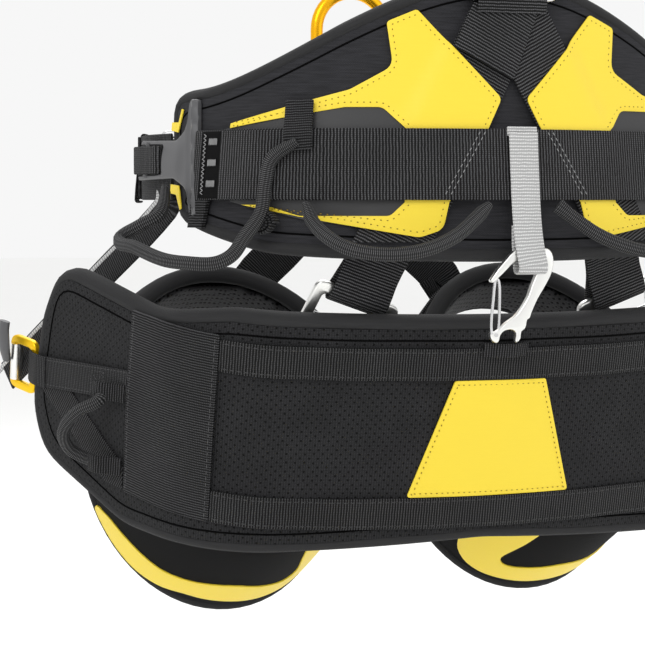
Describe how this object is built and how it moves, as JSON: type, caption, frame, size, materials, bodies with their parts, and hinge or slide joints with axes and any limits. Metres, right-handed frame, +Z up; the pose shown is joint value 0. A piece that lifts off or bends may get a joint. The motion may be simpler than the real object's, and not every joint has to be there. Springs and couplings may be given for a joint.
{
  "type": "tree climbing saddle",
  "caption": "Padded climbing harness with raised back, leg loops, gear loops, ventral ring and a padded suspension seat clipped on behind.",
  "frame": {"origin": "middle of the wearer's waist, level with the middle of the back webbing", "axes": "+Z up, +Y the way the wearer faces, +X to the wearer's right"},
  "size_m": [0.5632, 0.3539, 0.4545],
  "materials": {
    "black_foam_fabric": "fine black woven fabric over foam",
    "black_webbing": "ribbed woven webbing",
    "yellow_fabric": "coated yellow fabric",
    "grey_webbing": "ribbed woven webbing",
    "dark_moulding": "moulded",
    "stiff_board": "moulded",
    "steel": "polished",
    "aluminium": "satin",
    "yellow_anodised": "anodised",
    "orange_anodised": "anodised",
    "black_cord": "ribbed sleeve over a stiff tube"
  },
  "bodies": {
    "waist": {"back_patch_left": "yellow_fabric", "back_patch_right": "yellow_fabric", "cross_strap_left": "black_webbing", "cross_strap_right": "black_webbing", "front_block": "black_webbing", "front_strap_left": "black_webbing", "front_strap_right": "black_webbing", "riser_strap_left": "black_webbing", "riser_strap_right": "black_webbing", "side_bracket_left": "dark_moulding", "side_bracket_right": "dark_moulding", "waist_binding": "black_webbing", "waist_foam": "black_foam_fabric", "waist_shell": "black_foam_fabric", "waist_stiffener": "stiff_board", "waist_webbing": "black_webbing"},
    "ventral_ring": {"ventral_ring": "yellow_anodised"},
    "ring_gate": {"ring_gate": "orange_anodised"},
    "tether": {"tether_strap": "grey_webbing"},
    "hook": {"hook_body": "aluminium"},
    "hook_gate": {"hook_gate": "steel"},
    "rear_link": {"rear_link": "steel"},
    "hangers": {"hanger_strap_left": "black_webbing", "hanger_strap_right": "black_webbing"},
    "seat": {"seat_anchor": "black_webbing", "seat_band_bottom": "black_webbing", "seat_band_top": "black_webbing", "seat_binding": "black_webbing", "seat_board": "stiff_board", "seat_cover": "black_foam_fabric", "seat_cushion": "black_foam_fabric", "seat_end_band_left": "black_webbing", "seat_end_band_right": "black_webbing", "seat_patch": "yellow_fabric", "wing_strap_left": "black_webbing", "wing_strap_right": "black_webbing"},
    "side_loop_left": {"side_loop_left": "black_webbing"},
    "gear_loop_front_left": {"gear_loop_front_left": "black_cord"},
    "gear_loop_rear_left": {"gear_loop_rear_left": "black_cord"},
    "front_buckle_left": {"front_buckle_left": "steel"},
    "riser_buckle_left": {"riser_buckle_left": "steel"},
    "leg_loop_left": {"leg_pad_left": "black_foam_fabric", "leg_strap_left": "black_webbing", "leg_bridge_left": "black_webbing", "riser_lower_left": "black_webbing"},
    "leg_buckle_left": {"leg_buckle_left": "steel"},
    "seat_handle_left": {"seat_handle_left": "black_cord"},
    "seat_buckle_left": {"seat_buckle_left": "yellow_anodised"},
    "side_loop_right": {"side_loop_right": "black_webbing"},
    "gear_loop_front_right": {"gear_loop_front_right": "black_cord"},
    "gear_loop_rear_right": {"gear_loop_rear_right": "black_cord"},
    "front_buckle_right": {"front_buckle_right": "steel"},
    "riser_buckle_right": {"riser_buckle_right": "steel"},
    "leg_loop_right": {"leg_pad_right": "black_foam_fabric", "leg_strap_right": "black_webbing", "leg_bridge_right": "black_webbing", "riser_lower_right": "black_webbing"},
    "leg_buckle_right": {"leg_buckle_right": "steel"},
    "seat_handle_right": {"seat_handle_right": "black_cord"},
    "seat_buckle_right": {"seat_buckle_right": "yellow_anodised"}
  },
  "joints": [
    {"name": "ring_tilt", "type": "hinge", "parent": "waist", "child": "ventral_ring", "pos_m": [0, 0.1515, 0.028], "axis": [-1, 0, 0], "range_deg": [0, 95]},
    {"name": "ring_gate_open", "type": "hinge", "parent": "ventral_ring", "child": "ring_gate", "pos_m": [0.0285, 0.1515, 0.0657], "axis": [0, -1, 0], "range_deg": [0, 28]},
    {"name": "tether_swing", "type": "hinge", "parent": "waist", "child": "tether", "pos_m": [0.003, -0.1555, 0.02], "axis": [-1, 0, 0], "range_deg": [0, 60]},
    {"name": "hook_swing", "type": "hinge", "parent": "tether", "child": "hook", "pos_m": [0.005, -0.16, -0.056], "axis": [-1, 0, 0], "range_deg": [-4, 40]},
    {"name": "hook_gate_open", "type": "hinge", "parent": "hook", "child": "hook_gate", "pos_m": [-0.0175, -0.16, -0.1015], "axis": [0, 1, 0], "range_deg": [0, 24], "stiffness_Nm_per_rad": 0.02},
    {"name": "rear_link_fold", "type": "hinge", "parent": "waist", "child": "rear_link", "pos_m": [0, -0.1385, 0.1065], "axis": [1, 0, 0], "range_deg": [0, 95]},
    {"name": "seat_swing", "type": "hinge", "parent": "waist", "child": "hangers", "pos_m": [0, 0.012, -0.027], "axis": [-1, 0, 0], "range_deg": [0, 6]},
    {"name": "seat_height", "type": "slide", "parent": "hangers", "child": "seat", "axis": [0, 0, -1], "range_m": [0, 0.03]},
    {"name": "side_loop_fold_left", "type": "hinge", "parent": "waist", "child": "side_loop_left", "pos_m": [-0.19565, 0.01578, 0.0045], "axis": [0, 0, 1], "range_deg": [-6, 22]},
    {"name": "gear_loop_front_lift_left", "type": "hinge", "parent": "waist", "child": "gear_loop_front_left", "pos_m": [-0.16738, -0.07427, -0.001], "axis": [-0.512, 0.8193, -0.2583], "range_deg": [0, 45]},
    {"name": "gear_loop_rear_lift_left", "type": "hinge", "parent": "waist", "child": "gear_loop_rear_left", "pos_m": [-0.07905, -0.14402, -0.026], "axis": [-0.9616, 0.2743, 0], "range_deg": [0, 45]},
    {"name": "front_buckle_tilt_left", "type": "hinge", "parent": "waist", "child": "front_buckle_left", "pos_m": [-0.15759, 0.12661, 0], "axis": [0, 0, 1], "range_deg": [0, 30]},
    {"name": "riser_buckle_swing_left", "type": "hinge", "parent": "waist", "child": "riser_buckle_left", "pos_m": [-0.09127, -0.11044, -0.08139], "axis": [0.9422, 0, -0.3351], "range_deg": [0, 18]},
    {"name": "leg_loop_swing_left", "type": "hinge", "parent": "waist", "child": "leg_loop_left", "pos_m": [0, 0.145, -0.045], "axis": [1, 0, 0], "range_deg": [0, 18]},
    {"name": "leg_buckle_tilt_left", "type": "hinge", "parent": "leg_loop_left", "child": "leg_buckle_left", "pos_m": [-0.18242, 0.15097, -0.10372], "axis": [0, 0.866, -0.5], "range_deg": [0, 30]},
    {"name": "seat_handle_fold_left", "type": "hinge", "parent": "seat", "child": "seat_handle_left", "pos_m": [-0.23773, -0.00922, -0.17378], "axis": [-0.0175, -0.1897, 0.9817], "range_deg": [-18, 18]},
    {"name": "seat_buckle_tilt_left", "type": "hinge", "parent": "seat", "child": "seat_buckle_left", "pos_m": [-0.26447, 0.07288, -0.13737], "axis": [0, -0.225, 0.9744], "range_deg": [0, 30]},
    {"name": "side_loop_fold_right", "type": "hinge", "parent": "waist", "child": "side_loop_right", "pos_m": [0.19565, 0.01578, 0.0045], "axis": [0, 0, -1], "range_deg": [-6, 22]},
    {"name": "gear_loop_front_lift_right", "type": "hinge", "parent": "waist", "child": "gear_loop_front_right", "pos_m": [0.16738, -0.07427, -0.001], "axis": [-0.512, -0.8193, 0.2583], "range_deg": [0, 45]},
    {"name": "gear_loop_rear_lift_right", "type": "hinge", "parent": "waist", "child": "gear_loop_rear_right", "pos_m": [0.07905, -0.14402, -0.026], "axis": [-0.9616, -0.2743, 0], "range_deg": [0, 45]},
    {"name": "front_buckle_tilt_right", "type": "hinge", "parent": "waist", "child": "front_buckle_right", "pos_m": [0.15759, 0.12661, 0], "axis": [0, 0, -1], "range_deg": [0, 30]},
    {"name": "riser_buckle_swing_right", "type": "hinge", "parent": "waist", "child": "riser_buckle_right", "pos_m": [0.09127, -0.11044, -0.08139], "axis": [0.9422, 0, 0.3351], "range_deg": [0, 18]},
    {"name": "leg_loop_swing_right", "type": "hinge", "parent": "waist", "child": "leg_loop_right", "pos_m": [0, 0.145, -0.045], "axis": [1, 0, 0], "range_deg": [0, 18]},
    {"name": "leg_buckle_tilt_right", "type": "hinge", "parent": "leg_loop_right", "child": "leg_buckle_right", "pos_m": [0.18242, 0.15097, -0.10372], "axis": [0, -0.866, 0.5], "range_deg": [0, 30]},
    {"name": "seat_handle_fold_right", "type": "hinge", "parent": "seat", "child": "seat_handle_right", "pos_m": [0.23773, -0.00922, -0.17378], "axis": [0.0175, -0.1897, 0.9817], "range_deg": [-18, 18]},
    {"name": "seat_buckle_tilt_right", "type": "hinge", "parent": "seat", "child": "seat_buckle_right", "pos_m": [0.26447, 0.07288, -0.13737], "axis": [0, 0.225, -0.9744], "range_deg": [0, 30]}
  ]
}
